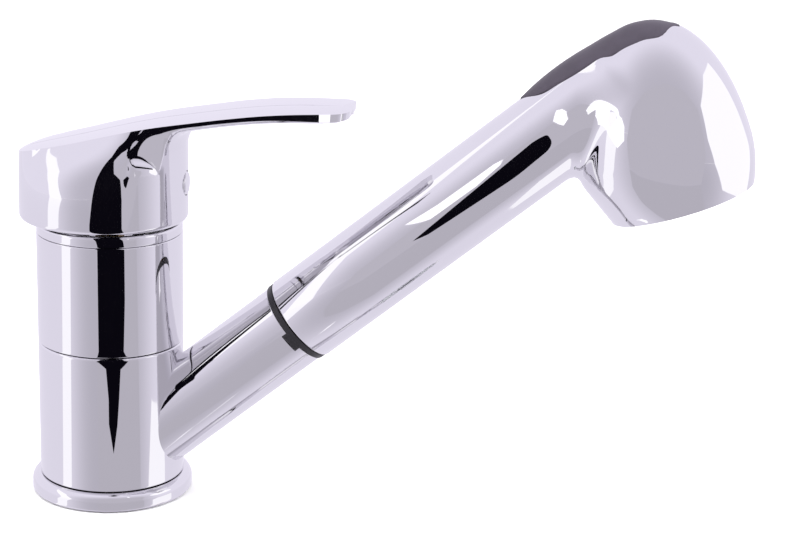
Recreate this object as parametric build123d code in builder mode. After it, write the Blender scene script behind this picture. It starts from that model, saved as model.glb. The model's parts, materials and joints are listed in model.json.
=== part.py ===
from build123d import *

import os
from math import cos, degrees, radians, sin, tan

# Single-lever sink mixer with a pull-out hand spray, as separate pieces.
# Millimetres and degrees. The origin is the centre of the base's underside, on
# the sink deck. +X runs along the spout and +Z points up.

# Gaps
seam = 0.3  # between pieces that move past each other
running = 0.05  # on the radius, between a shaft and its bearing
bedding = 0.05  # between fixed pieces that sit on each other

# Base, body and swivel sleeve
body_d = 50.0
base_flare = 2.85  # base ring beyond the body
base_ring_h = 6.3
base_ring_round = 2.8
base_ring_edge = 1.2
sleeve_over = 4.272  # sleeve above the spout tube's root
sleeve_wall = 2.4
upper_body_h = 38.2
trim_ring_h = 4.0
trim_ring_round = 1.2
handle_gap = 0.7
seal_w = 2.5
seal_h = 1.6
seal_round = 0.5
slip_ring_w = 2.1
column_wall = 3.5
lap_l = 4.0  # how far the valve body reaches down into the column
foot_h = 5.0
foot_flange = 1.5
shank_thread_d = 32.4
shank_thread_l = 9.0
swivel_half_angle = 60.0
hose_half_angle = 26.0
window_rise = 5.0  # above the shank's thread
window_gap = 2.2  # under the sleeve's O-ring
slip_ring_h = 6.2
stop_w = 5.0
stop_h = 3.0
stop_margin = 1.0  # degrees past the end of the swivel

# Ports in the body's floor
web_h = 12.0
port_thread_d = 9.0
port_depth = 9.0
port_edge = 1.0  # ceramic left outside a port
waterway_d = 5.0

# Cartridge
cartridge_d = 39.6
chamber_gap = 0.3  # round the cartridge
nut_thread_w = 0.9  # step from the chamber out to the nut's thread
nut_h = 4.9
nut_hex_w = 4.5  # hexagon's wall, round the neck
neck_d = 30.0
neck_h = 9.0
neck_wall = 3.0
housing_floor = 2.0
housing_wall = 2.8
cartridge_seal_d = 8.6
cartridge_seal_h = 2.0
cartridge_seal_w = 1.8
disc_d = 28.0
moving_disc_d = 24.0
disc_h = 4.0
carrier_h = 4.0
carrier_gap = 0.7  # under the rotor's flange
rotor_flange_h = 3.0
pivot_rise = 4.0  # pivot pin above the rotor flange
pivot_pin_d = 4.0
pin_end_gap = 1.0
stem_w = 8.0
stem_foot_d = 5.0
stem_foot_l = 1.8  # reach into the disc carrier
lift_angle = 25.0

# Lever handle
handle_wall = 2.3
cap_rear_overhang = 5.8  # past the body
cap_front_overhang = 1.9
cap_side_overhang = 1.7
cap_top_overhang = 3.4
cap_top_half_w = 16.2
cap_h = 36.0
cap_hollow_h = 19.5
lever_reach = 83.0
lever_tip_z = 42.2  # top of the tip above the cap's lower edge
lever_mid_z = 37.1
lever_mid_x = 30.0
lever_back_z = 22.3
lever_root_t = 6.7  # underside where it leaves the cap, below lever_mid_z
lever_under_t = 2.05  # underside half way out, below the middle of mid and tip
lever_t = 3.3
lever_half_w = 16.3
lever_tip_half_w = 13.0
lever_tip_corner = 6.0
boss_w = 14.0
boss_gap = 6.0  # handle boss above the cartridge neck
plug_d = 8.4
plug_z = 13.3  # above the cap's lower edge
plug_h = 4.0
plug_round = 1.2
plug_out = 0.9
set_screw_d = 5.0
set_screw_l = 8.0

# Spout tube, leaning up from the sleeve
spout_angle = 39.8
spout_root_rise = 3.9  # axis crossing above the base ring
spout_d = 29.5
spout_wall = 1.85
collar_lip = 0.35  # past the spout tube
collar_w = 2.2
collar_liner_l = 24.0
collar_liner_w = 0.85
key_w = 7.0
key_l = 2.0
key_angle = 79.0  # round the tube, from its underside
guide_gap = 2.36  # clear of the column
tail_gap = 0.95  # guide to hand spray's tail
guide_l = 7.0
guide_bore_d = 19.0
guide_round = 1.0

# Pull-out hand spray
shaft_d = 30.8
shell_wall = 2.1
shaft_past = 7.15  # end of the shaft past the rim's centre
nose_l = 24.0
tail_thread_d = 20.8
tail_thread_l = 14.0
tail_socket_l = 16.0
tail_bore_d = 12.0
o_ring_w = 2.0
valve_l = 14.0
washer_d = 16.0
washer_h = 2.0
tube_d = 12.0
tube_bore_d = 9.0

# Spray head, measured from the centre of its rim
rim_s = 128.85  # past the docking plane, along the shaft
crown_rise = 11.904  # crown of the dome above the shaft axis
rim_tilt = 19.5
# rise from the section below, back, front and half width of the egg's sections
dome_steps = (
    (0.0, -24.2, 24.2, 20.8),
    (8.0, -27.0, 26.7, 22.6),
    (9.0, -29.0, 27.8, 23.6),
    (11.0, -28.5, 28.0, 23.4),
    (10.0, -26.0, 26.6, 21.5),
    (9.0, -21.5, 23.6, 17.8),
    (7.0, -15.0, 17.6, 12.5),
    (5.5, -5.0, 8.5, 5.5),
)
face_recess = 1.2
face_plate_h = 3.0
nozzle_count = 22
nozzle_d = 1.8
nozzle_bore_d = 0.7
nozzle_out = 0.8  # tip beyond the plate
nozzle_inset = 3.4
plate_rim = 1.0
channel_rim = 2.0
mat_h = 1.5
aerator_d = 22.0
aerator_wall = 1.6
aerator_h = 8.0
screen_h = 1.2
screen_pitch = 1.8
screen_bar = 0.55
chamber_plate_h = 4.0
chamber_boss_w = 1.5  # wall round the aerator
chamber_boss_h = 9.0
diverter_d = 22.0
diverter_h = 27.0
spool_offset = 5.0
spool_d = 5.0
spool_head_d = 9.0
spool_head_h = 3.0

# Selector rocker on top of the head: step along the shaft, half width, crest, side
# edge and underside above the shaft axis
rocker_back = 21.65  # rear end, behind the rim's centre
rocker_steps = (
    (0.0, 0.8, 15.7, 15.3, 12.5),
    (5.8, 6.5, 16.4, 14.1, 9.5),
    (8.8, 8.4, 16.8, 13.1, 9.0),
    (8.6, 9.5, 16.4, 12.3, 8.8),
    (4.6, 10.1, 15.9, 11.6, 8.0),
    (8.0, 10.7, 15.0, 9.3, 6.0),
    (8.2, 10.6, 13.3, 7.0, 4.0),
    (6.8, 8.3, 9.2, 5.4, 3.0),
    (4.2, 1.5, 4.6, 4.3, 2.8),
)
rocker_pivot_in = 22.3  # ahead of its rear end
rocker_pivot_h = 9.5
rocker_pin_d = 2.0
rocker_pin_l = 21.6
rocker_lug_d = 4.4
rocker_lug_w = 15.0
rocker_sink = 2.4  # room under the rocker for its tilt
rocker_lift = 5.0  # height of the recess's cutter over the crest

# Radii
body_r = body_d / 2
sleeve_r = body_r - sleeve_wall
column_r = sleeve_r - slip_ring_w
column_bore_r = column_r - column_wall
lap_r = column_r - column_wall / 2
cartridge_r = cartridge_d / 2
chamber_r = cartridge_r + chamber_gap
nut_thread_r = chamber_r + nut_thread_w
neck_r = neck_d / 2
neck_bore_r = neck_r - neck_wall
housing_r = cartridge_r - housing_wall
port_circle_r = (disc_d - waterway_d) / 2 - port_edge
spout_r = spout_d / 2
spout_bore_r = spout_r - spout_wall
collar_bore_r = spout_bore_r - bedding - collar_liner_w
nose_r = collar_bore_r - running
shaft_r = shaft_d / 2
shaft_bore_r = shaft_r - shell_wall
cap_back = body_r + cap_rear_overhang
cap_front = body_r + cap_front_overhang
cap_half_w = body_r + cap_side_overhang
cap_top_front = body_r + cap_top_overhang

# The spout leaves the body's axis here, at this slope
spout_root_z = base_ring_h + spout_root_rise
run = cos(radians(spout_angle))
climb = sin(radians(spout_angle))

# Heights, from the deck up
sleeve_z0 = base_ring_h + seam
sleeve_z1 = spout_root_z + (body_r * climb + spout_r) / run + sleeve_over
body_z0 = sleeve_z1 + seam
body_z1 = body_z0 + upper_body_h
trim_z1 = body_z1 + trim_ring_h
cap_z0 = trim_z1 + handle_gap
shoulder_z = body_z1 - nut_h
neck_z1 = shoulder_z + neck_h
o_ring_z = sleeve_z1 - slip_ring_h - o_ring_w - 2 * bedding

# Cartridge heights, from the shoulder down
flange_z1 = shoulder_z - housing_floor - seam
flange_z0 = flange_z1 - rotor_flange_h
carrier_z = flange_z0 - carrier_gap - carrier_h
moving_disc_z = carrier_z - bedding - disc_h
housing_floor_z = moving_disc_z - bedding - disc_h
chamber_z = housing_floor_z - housing_floor - cartridge_seal_h
web_z = chamber_z - web_h
pivot_z = flange_z1 + pivot_rise
foot_z = carrier_z + carrier_h - stem_foot_l
rotor_r = neck_bore_r - running
rotor_z1 = neck_z1 + seam

# Distances along the spout's axis, from the body's axis
guide_s = (column_r + guide_gap + spout_bore_r * climb) / run
tail_s0 = guide_s + guide_l + tail_gap
dock_s = tail_s0 + tail_thread_l + nose_l
mouth_s = dock_s - collar_w
shell_s0 = dock_s + seam
rim_centre_s = dock_s + rim_s
shaft_s1 = rim_centre_s + shaft_past

# Sections of the head and of its selector, placed
dome_sections = []
level = 0.0
for rise, back, front, half in dome_steps:
    level = level + rise
    dome_sections.append((level, back, front, half))
dome_top = level
rim_half_l = dome_sections[0][2]
rim_half_w = dome_sections[0][3]

rocker_sections = []
reach = rim_centre_s - rocker_back
rocker_pivot_s = reach + rocker_pivot_in
for step, half, crest, edge, under in rocker_steps:
    reach = reach + step
    rocker_sections.append((reach, half, crest, edge, under))

# The spout's line, and planes across it and along it
spout_root = Vector(0, 0, spout_root_z)
along = Vector(run, 0, climb)
above = Vector(-climb, 0, run)
across_spout = Plane(origin=spout_root, x_dir=above, z_dir=along)
side_of_spout = Plane(origin=spout_root, x_dir=along, z_dir=(0, -1, 0))

# The head's rim and the planes through its centre
lean = radians(spout_angle - rim_tilt)
rim_drop = dome_top * cos(lean) - crown_rise
rim_centre = spout_root + along * rim_centre_s - above * rim_drop
outward = Vector(cos(radians(rim_tilt)), 0, sin(radians(rim_tilt)))
upward = Vector(-sin(radians(rim_tilt)), 0, cos(radians(rim_tilt)))
rim_plane = Plane(origin=rim_centre, x_dir=outward, z_dir=upward)

# Levels inside the head, above the rim
plate_top = face_recess + face_plate_h
mat_z = plate_top + bedding
distributor_z = mat_z + mat_h + bedding
boss_z1 = distributor_z + chamber_plate_h + chamber_boss_h
diverter_z = boss_z1 + bedding
diverter_top = diverter_z + diverter_h
aerator_r = aerator_d / 2

# Where the rocker turns and where it presses the spool
rocker_pivot = spout_root + along * rocker_pivot_s + above * rocker_pivot_h


def save(sub_part, name):
    """Labels one finished piece and writes it."""
    sub_part.label = name
    export_step(sub_part, "parts/" + name + ".step")


def tube(plane, start, end, radius, bore=0.0, mode=Mode.ADD):
    """Adds a round bar or tube between two distances from a plane."""
    with BuildSketch(plane.offset(start)) as section:
        Circle(radius)
        if bore:
            Circle(bore, mode=Mode.SUBTRACT)
    extrude(section.sketch, amount=end - start, mode=mode)


def pie(half_angle, radius, facing=0.0):
    """Draws a slice of a disc about a direction, for cutting windows."""
    with BuildLine() as outline:
        rim = CenterArc((0, 0), radius, facing - half_angle, 2 * half_angle)
        Line((0, 0), rim @ 0)
        Line((0, 0), rim @ 1)
    make_face(outline.edges())


def egg(inset=0.0, mode=Mode.ADD):
    """Lofts the spray head through its level sections, drawn in by inset."""
    sections = []
    for level, back, front, half in dome_sections:
        with BuildSketch(rim_plane.offset(level * (1 - inset / dome_top))) as section:
            with Locations(((front + back) / 2, 0)):
                Ellipse((front - back) / 2 - inset, half - inset)
        sections.append(section.sketch)
    loft(sections, mode=mode)


def key_sketch(grow=0.0):
    """Draws the collar's two keys as blocks across the tube's wall."""
    for angle in (180 - key_angle, key_angle - 180):
        with PolarLocations(spout_r, 1, start_angle=angle):
            Rectangle(4 * spout_wall, key_w + 2 * grow)


def nozzle_places():
    """Places the spray nozzles round the aerator, on an ellipse inside the rim."""
    turns = [radians(360 * (k + 0.5) / nozzle_count) for k in range(nozzle_count)]
    reach = rim_half_l - shell_wall - nozzle_inset
    aside = rim_half_w - shell_wall - nozzle_inset
    return [(reach * cos(turn), aside * sin(turn)) for turn in turns]


def rocker_loft(grow=0.0, lift=0.0, sink=0.0, mode=Mode.ADD):
    """Lofts the selector through its sections, or the recess that it tilts in."""
    sections = []
    last = len(rocker_sections) - 1
    for k, (reach, half, crest, edge, under) in enumerate(rocker_sections):
        ends = grow * ((k == last) - (k == 0))
        with BuildSketch(across_spout.offset(reach + ends)) as section:
            with BuildLine() as outline:
                ThreePointArc(
                    (edge + lift, -half - grow), (crest + lift, 0), (edge + lift, half + grow)
                )
                Polyline(
                    (edge + lift, half + grow), (under - sink, half + grow),
                    (under - sink, -half - grow), (edge + lift, -half - grow),
                )
            make_face(outline.edges())
        sections.append(section.sketch)
    loft(sections, mode=mode)


os.makedirs("parts", exist_ok=True)

# ---- Fixed body ----------------------------------------------------------

with BuildPart() as base_ring:
    with BuildSketch():
        Circle(body_r + base_flare)
        Circle(column_r + foot_flange + bedding, mode=Mode.SUBTRACT)
    extrude(amount=base_ring_h)
    rim = base_ring.edges().filter_by(GeomType.CIRCLE).sort_by(SortBy.RADIUS)[-2:]
    fillet(rim.sort_by(Axis.Z)[-1], radius=base_ring_round)
    rim = base_ring.edges().filter_by(GeomType.CIRCLE).group_by(Axis.Z)[0]
    fillet(rim.sort_by(SortBy.RADIUS)[-1], radius=base_ring_edge)
    with BuildSketch():
        Circle(body_r + bedding)
        Circle(body_r - seal_w - bedding, mode=Mode.SUBTRACT)
    extrude(amount=seal_h + bedding, mode=Mode.SUBTRACT)
save(base_ring.part, "base_ring")

with BuildPart() as base_seal:
    tube(Plane.XY, 0, seal_h, body_r, body_r - seal_w)
    fillet(base_seal.edges().group_by(Axis.Z)[-1], radius=seal_round)
save(base_seal.part, "base_seal")

with BuildPart() as foot_bush:
    tube(Plane.XY, 0, foot_h, column_r + foot_flange, shank_thread_d / 2)
    tube(Plane.XY, foot_h, shank_thread_l, lap_r, shank_thread_d / 2)
save(foot_bush.part, "foot_bush")

with BuildPart() as swivel_column:
    tube(Plane.XY, foot_h, web_z, column_r, column_bore_r)
    tube(Plane.XY, foot_h, shank_thread_l, lap_r + bedding, mode=Mode.SUBTRACT)
    tube(Plane.XY, web_z - lap_l, web_z, lap_r + bedding, mode=Mode.SUBTRACT)
    window_z0 = shank_thread_l + window_rise
    with BuildSketch(Plane.XY.offset(window_z0)):
        pie(swivel_half_angle + hose_half_angle, body_r)
    extrude(amount=o_ring_z - window_gap - window_z0, mode=Mode.SUBTRACT)
    tube(
        Plane.XY, o_ring_z - bedding, o_ring_z + o_ring_w + bedding,
        body_r, column_r - o_ring_w / 2, mode=Mode.SUBTRACT,
    )
save(swivel_column.part, "swivel_column")

with BuildPart() as mixer_body:
    tube(Plane.XY, web_z - lap_l, web_z, lap_r, column_bore_r)
    tube(Plane.XY, web_z, body_z0, column_r)
    tube(Plane.XY, body_z0, body_z1, body_r)
    tube(Plane.XY, chamber_z, body_z1, chamber_r, mode=Mode.SUBTRACT)
    tube(Plane.XY, shoulder_z, body_z1, nut_thread_r, mode=Mode.SUBTRACT)
    with BuildSketch(Plane.XY.offset(web_z)):
        with PolarLocations(port_circle_r, 3):
            Circle(port_thread_d / 2)
    extrude(amount=port_depth, mode=Mode.SUBTRACT)
    with BuildSketch(Plane.XY.offset(web_z)):
        with PolarLocations(port_circle_r, 3):
            Circle(waterway_d / 2)
    extrude(amount=web_h, mode=Mode.SUBTRACT)
save(mixer_body.part, "mixer_body")

with BuildPart() as upper_slip_ring:
    tube(
        Plane.XY, sleeve_z1 - slip_ring_h, sleeve_z1,
        sleeve_r - running, column_r + bedding,
    )
save(upper_slip_ring.part, "upper_slip_ring")

with BuildPart() as sleeve_o_ring:
    tube(
        Plane.XY, o_ring_z, o_ring_z + o_ring_w,
        sleeve_r - running, column_r - o_ring_w / 2 + bedding,
    )
save(sleeve_o_ring.part, "sleeve_o_ring")

stop_half_angle = swivel_half_angle + degrees(stop_w / 2 / column_r) + stop_margin
with BuildPart() as lower_slip_ring:
    tube(
        Plane.XY, sleeve_z0, sleeve_z0 + slip_ring_h,
        sleeve_r - running, column_r + bedding,
    )
    with BuildSketch(Plane.XY.offset(sleeve_z0 + slip_ring_h - stop_h - seam)):
        pie(stop_half_angle, body_r, facing=180)
    extrude(amount=slip_ring_h, mode=Mode.SUBTRACT)
save(lower_slip_ring.part, "lower_slip_ring")

# ---- Cartridge -----------------------------------------------------------

with BuildPart() as cartridge_housing:
    tube(Plane.XY, chamber_z + bedding, shoulder_z, cartridge_r)
    tube(Plane.XY, shoulder_z, neck_z1, neck_r)
    tube(Plane.XY, housing_floor_z, shoulder_z - housing_floor, housing_r, mode=Mode.SUBTRACT)
    tube(Plane.XY, housing_floor_z, neck_z1, neck_bore_r, mode=Mode.SUBTRACT)
    with BuildSketch(Plane.XY.offset(chamber_z)):
        with PolarLocations(port_circle_r, 3):
            Circle(cartridge_seal_d / 2 + bedding)
    extrude(amount=cartridge_seal_h + bedding, mode=Mode.SUBTRACT)
    with BuildSketch(Plane.XY.offset(chamber_z)):
        with PolarLocations(port_circle_r, 3):
            Circle(waterway_d / 2)
    extrude(amount=cartridge_seal_h + 2 * housing_floor, mode=Mode.SUBTRACT)
save(cartridge_housing.part, "cartridge_housing")

with BuildPart() as cartridge_seals:
    with BuildSketch(Plane.XY.offset(chamber_z + bedding)):
        with PolarLocations(port_circle_r, 3):
            Circle(cartridge_seal_d / 2)
            Circle(cartridge_seal_d / 2 - cartridge_seal_w, mode=Mode.SUBTRACT)
    extrude(amount=cartridge_seal_h - bedding)
save(cartridge_seals.part, "cartridge_seals")

with BuildPart() as fixed_disc:
    tube(Plane.XY, housing_floor_z + bedding, moving_disc_z - bedding, disc_d / 2)
    with BuildSketch(Plane.XY.offset(housing_floor_z)):
        with PolarLocations(port_circle_r, 3):
            Circle(waterway_d / 2)
    extrude(amount=2 * disc_h, mode=Mode.SUBTRACT)
save(fixed_disc.part, "fixed_disc")

with BuildPart() as moving_disc:
    tube(Plane.XY, moving_disc_z, carrier_z - bedding, moving_disc_d / 2)
    with BuildSketch(Plane.XY.offset(moving_disc_z)):
        SlotOverall(moving_disc_d * 0.6, waterway_d)
    extrude(amount=disc_h / 2, mode=Mode.SUBTRACT)
save(moving_disc.part, "moving_disc")

with BuildPart() as disc_carrier:
    tube(Plane.XY, carrier_z, carrier_z + carrier_h, moving_disc_d / 2)
    with BuildSketch(Plane.XY.offset(foot_z - 3 * seam)):
        Rectangle(stem_foot_d + 6 * seam, stem_foot_d + 2 * seam)
    extrude(amount=carrier_h, mode=Mode.SUBTRACT)
save(disc_carrier.part, "disc_carrier")

with BuildPart() as stem_carrier:
    tube(Plane.XY, flange_z0, flange_z1, housing_r - running)
    tube(Plane.XY, flange_z1, rotor_z1, rotor_r)
    slot_mid = stem_w / 2 / cos(radians(lift_angle)) + seam
    slot_end = slot_mid + (rotor_z1 - pivot_z) * tan(radians(lift_angle))
    slot_low = slot_mid + (pivot_z - flange_z0) * tan(radians(lift_angle))
    with BuildSketch(Plane.XZ):
        with BuildLine():
            Polyline(
                (-slot_end, rotor_z1), (-slot_mid, pivot_z),
                (-stem_w / 2 - seam, flange_z0), (slot_low, flange_z0),
                (slot_mid, pivot_z), (stem_w / 2 + seam, rotor_z1),
                close=True,
            )
        make_face()
    extrude(amount=stem_w / 2 + seam, both=True, mode=Mode.SUBTRACT)
    with BuildSketch(Plane.XZ):
        with Locations((0, pivot_z)):
            Circle(pivot_pin_d / 2)
    extrude(amount=rotor_r - pin_end_gap, both=True, mode=Mode.SUBTRACT)
save(stem_carrier.part, "stem_carrier")

with BuildPart() as stem_pin:
    with BuildSketch(Plane.XZ):
        with Locations((0, pivot_z)):
            Circle(pivot_pin_d / 2)
    extrude(amount=rotor_r - pin_end_gap, both=True)
save(stem_pin.part, "stem_pin")

with BuildPart() as cartridge_nut:
    tube(Plane.XY, shoulder_z + bedding, body_z1, nut_thread_r - bedding, neck_r + seam)
    with BuildSketch(Plane.XY.offset(body_z1)):
        RegularPolygon(neck_r + nut_hex_w, 6)
        Circle(neck_r + seam, mode=Mode.SUBTRACT)
    extrude(amount=trim_ring_h / 2)
save(cartridge_nut.part, "cartridge_nut")

with BuildPart() as trim_ring:
    tube(Plane.XY, body_z1 + bedding, trim_z1, body_r - bedding, neck_r + seam)
    tube(
        Plane.XY, body_z1, body_z1 + trim_ring_h / 2 + bedding,
        neck_r + nut_hex_w + bedding, mode=Mode.SUBTRACT,
    )
    top = trim_ring.edges().group_by(Axis.Z)[-1].sort_by(SortBy.RADIUS)[-1]
    fillet(top, radius=trim_ring_round)
save(trim_ring.part, "trim_ring")

# ---- Lever handle --------------------------------------------------------

stem_z1 = cap_z0 + cap_hollow_h - bedding
with BuildPart() as cartridge_stem:
    with BuildSketch(Plane.XY.offset(pivot_z - stem_w / 2)):
        Rectangle(stem_w, stem_w)
    extrude(amount=stem_z1 - pivot_z + stem_w / 2)
    tube(Plane.XY, foot_z, pivot_z, stem_foot_d / 2)
    with BuildSketch(Plane.XZ):
        with Locations((0, pivot_z)):
            Circle(pivot_pin_d / 2 + running)
    extrude(amount=stem_w, both=True, mode=Mode.SUBTRACT)
save(cartridge_stem.part, "cartridge_stem")

lever_top = (
    (-cap_back, cap_z0 + lever_back_z),
    (lever_mid_x, cap_z0 + lever_mid_z),
    (lever_reach, cap_z0 + lever_tip_z),
)
lever_under = (
    (cap_front - handle_wall, cap_z0 + lever_mid_z - lever_root_t),
    (
        (cap_front + lever_reach) / 2,
        cap_z0 + (lever_mid_z + lever_tip_z) / 2 - lever_under_t,
    ),
    (lever_reach, cap_z0 + lever_tip_z - lever_t),
)
with BuildPart() as lever_blade:
    with BuildSketch(Plane.XZ):
        with BuildLine():
            top_line = Spline(*lever_top)
            under_line = Spline(*lever_under)
            Line(top_line @ 1, under_line @ 1)
            Polyline(
                top_line @ 0, (-cap_back, cap_z0 + cap_hollow_h),
                (0, cap_z0 + cap_hollow_h), under_line @ 0,
            )
        make_face()
    extrude(amount=cap_half_w, both=True)
    with BuildSketch(Plane.XY.offset(cap_z0)):
        with BuildLine():
            Spline(
                (0, -cap_top_half_w), (lever_mid_x, -lever_half_w),
                (lever_reach, -lever_tip_half_w),
            )
            Line((lever_reach, -lever_tip_half_w), (lever_reach, lever_tip_half_w))
            Spline(
                (lever_reach, lever_tip_half_w), (lever_mid_x, lever_half_w),
                (0, cap_top_half_w),
            )
            Line((0, cap_top_half_w), (0, -cap_top_half_w))
        make_face()
    extrude(amount=2 * cap_h, mode=Mode.INTERSECT)
    tip = lever_blade.edges().filter_by(Axis.Z).group_by(Axis.X)[-1]
    fillet(tip, radius=lever_tip_corner)

with BuildPart() as lever_handle:
    with BuildSketch(Plane.XY.offset(cap_z0)):
        with Locations(((cap_front - cap_back) / 2, 0)):
            Ellipse((cap_front + cap_back) / 2, cap_half_w)
    with BuildSketch(Plane.XY.offset(cap_z0 + cap_h)):
        with Locations(((cap_top_front - cap_back) / 2, 0)):
            Ellipse((cap_top_front + cap_back) / 2, cap_top_half_w)
    loft()
    with BuildSketch(Plane.XZ):
        with BuildLine():
            ridge = Spline(*lever_top)
            Polyline(
                ridge @ 0, (-cap_back, cap_z0), (lever_reach, cap_z0), ridge @ 1,
            )
        make_face()
    extrude(amount=cap_half_w, both=True, mode=Mode.INTERSECT)
    add(lever_blade.part)
    with BuildSketch(Plane.XY.offset(cap_z0)):
        with Locations(((cap_front - cap_back) / 2, 0)):
            Ellipse((cap_front + cap_back) / 2 - handle_wall, cap_half_w - handle_wall)
    with BuildSketch(Plane.XY.offset(cap_z0 + cap_hollow_h)):
        share = cap_hollow_h / cap_h
        narrow = cap_half_w + (cap_top_half_w - cap_half_w) * share - handle_wall
        with Locations(((cap_front - cap_back) / 2, 0)):
            Ellipse((cap_front + cap_back) / 2 - handle_wall, narrow)
    loft(mode=Mode.SUBTRACT)
    with BuildSketch(Plane.XY.offset(rotor_z1 + boss_gap)):
        Rectangle(boss_w, boss_w)
    extrude(amount=cap_z0 + cap_hollow_h + bedding - rotor_z1 - boss_gap)
    with BuildSketch(Plane.XY.offset(rotor_z1)):
        Rectangle(stem_w + 2 * bedding, stem_w + 2 * bedding)
    extrude(amount=cap_z0 + cap_hollow_h - rotor_z1, mode=Mode.SUBTRACT)
    with BuildSketch(Plane.YZ):
        with Locations((0, cap_z0 + plug_z)):
            Circle(set_screw_d / 2 + bedding)
    extrude(amount=cap_front * 2, mode=Mode.SUBTRACT)
    with BuildSketch(Plane.YZ.offset(cap_front - handle_wall - plug_h / 2)):
        with Locations((0, cap_z0 + plug_z)):
            Circle(plug_d / 2)
    extrude(amount=cap_front, mode=Mode.SUBTRACT)
save(lever_handle.part, "lever_handle")

with BuildPart() as handle_set_screw:
    with BuildSketch(Plane.YZ.offset(stem_w / 2 + bedding)):
        with Locations((0, cap_z0 + plug_z)):
            Circle(set_screw_d / 2)
    extrude(amount=set_screw_l)
    with BuildSketch(Plane.YZ.offset(stem_w / 2 + set_screw_l / 2)):
        with Locations((0, cap_z0 + plug_z)):
            RegularPolygon(set_screw_d * 0.29, 6)
    extrude(amount=set_screw_l, mode=Mode.SUBTRACT)
save(handle_set_screw.part, "handle_set_screw")

with BuildPart() as handle_plug:
    with BuildSketch(Plane.YZ.offset(cap_front - handle_wall)):
        with Locations((0, cap_z0 + plug_z)):
            Circle(plug_d / 2 - bedding)
    extrude(amount=handle_wall + plug_out)
    fillet(handle_plug.edges().group_by(Axis.X)[-1], radius=plug_round)
save(handle_plug.part, "handle_plug")

# ---- Spout ---------------------------------------------------------------

with BuildPart() as spout_sleeve:
    tube(Plane.XY, sleeve_z0, sleeve_z1, body_r)
    tube(across_spout, 0, mouth_s, spout_r)
    tube(Plane.XY, -body_d, sleeve_z1, sleeve_r, mode=Mode.SUBTRACT)
    tube(across_spout, 0, mouth_s, spout_bore_r, mode=Mode.SUBTRACT)
    with BuildSketch(across_spout.offset(mouth_s - key_l - bedding)):
        key_sketch(bedding)
    extrude(amount=2 * key_l, mode=Mode.SUBTRACT)
    with BuildSketch(Plane.XY.offset(sleeve_z0 + slip_ring_h - stop_h)):
        with Locations((-sleeve_r, 0)):
            Rectangle(2 * (sleeve_r - column_r - seam), stop_w)
        Circle(body_r - bedding, mode=Mode.INTERSECT)
    extrude(amount=stop_h)
save(spout_sleeve.part, "spout_sleeve")

with BuildPart() as docking_collar:
    tube(across_spout, mouth_s + bedding, dock_s, spout_r + collar_lip)
    tube(across_spout, mouth_s - collar_liner_l, dock_s, spout_bore_r - bedding)
    with BuildSketch(across_spout.offset(mouth_s - key_l)):
        key_sketch()
        Circle(spout_r, mode=Mode.INTERSECT)
        Circle(spout_bore_r - 2 * bedding, mode=Mode.SUBTRACT)
    extrude(amount=key_l + collar_w / 2)
    tube(across_spout, 0, 2 * dock_s, collar_bore_r, mode=Mode.SUBTRACT)
save(docking_collar.part, "docking_collar")

with BuildPart() as hose_guide:
    tube(across_spout, guide_s, guide_s + guide_l, spout_bore_r - bedding, guide_bore_d / 2)
    mouths = hose_guide.edges().filter_by(GeomType.CIRCLE).sort_by(SortBy.RADIUS)[:2]
    fillet(mouths, radius=guide_round)
save(hose_guide.part, "hose_guide")

# ---- Hand spray ----------------------------------------------------------

with BuildPart() as handset_shell:
    tube(across_spout, shell_s0, shaft_s1, shaft_r)
    egg()
    egg(shell_wall, mode=Mode.SUBTRACT)
    tube(across_spout, shell_s0, shaft_s1, shaft_bore_r, mode=Mode.SUBTRACT)
    rocker_loft(seam, rocker_lift, rocker_sink, mode=Mode.SUBTRACT)
    with BuildSketch(Plane(origin=rocker_pivot, x_dir=along, z_dir=(0, -1, 0))):
        Circle(rocker_pin_d / 2)
    extrude(amount=rocker_pin_l / 2, both=True, mode=Mode.SUBTRACT)
save(handset_shell.part, "handset_shell")

with BuildPart() as handset_tail:
    tube(across_spout, tail_s0, dock_s - nose_l, tail_thread_d / 2)
    tube(across_spout, dock_s - nose_l, shell_s0, nose_r)
    tube(across_spout, shell_s0, shell_s0 + tail_socket_l, shaft_bore_r - bedding)
    tube(across_spout, tail_s0, shell_s0 + tail_socket_l, tail_bore_d / 2, mode=Mode.SUBTRACT)
    tube(across_spout, tail_s0, tail_s0 + washer_h, washer_d / 2, mode=Mode.SUBTRACT)
    tube(
        across_spout, dock_s - nose_l / 2, dock_s - nose_l / 2 + o_ring_w + 2 * bedding,
        2 * nose_r, nose_r - o_ring_w, mode=Mode.SUBTRACT,
    )
save(handset_tail.part, "handset_tail")

with BuildPart() as dock_o_ring:
    tube(
        across_spout, dock_s - nose_l / 2 + bedding,
        dock_s - nose_l / 2 + bedding + o_ring_w, nose_r, nose_r - o_ring_w + bedding,
    )
save(dock_o_ring.part, "dock_o_ring")

with BuildPart() as check_valve:
    tube(
        across_spout, tail_s0 + washer_h + bedding, tail_s0 + washer_h + valve_l,
        tail_bore_d / 2 - bedding, tail_bore_d / 4,
    )
save(check_valve.part, "check_valve")

with BuildPart() as filter_washer:
    tube(across_spout, tail_s0, tail_s0 + washer_h - bedding, washer_d / 2 - bedding)
    with BuildSketch(across_spout.offset(tail_s0)):
        with GridLocations(screen_pitch, screen_pitch, 4, 4):
            Rectangle(screen_pitch - screen_bar, screen_pitch - screen_bar)
    extrude(amount=washer_h, mode=Mode.SUBTRACT)
save(filter_washer.part, "filter_washer")

# The head's axis crosses the shaft's axis here, measured from the rim
crossing_s = rim_centre_s + rim_drop * tan(lean)

with BuildPart() as waterway_tube:
    tube(
        across_spout, shell_s0 + tail_socket_l + bedding, crossing_s - diverter_d / 4,
        tube_d / 2, tube_bore_d / 2,
    )
save(waterway_tube.part, "waterway_tube")

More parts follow.
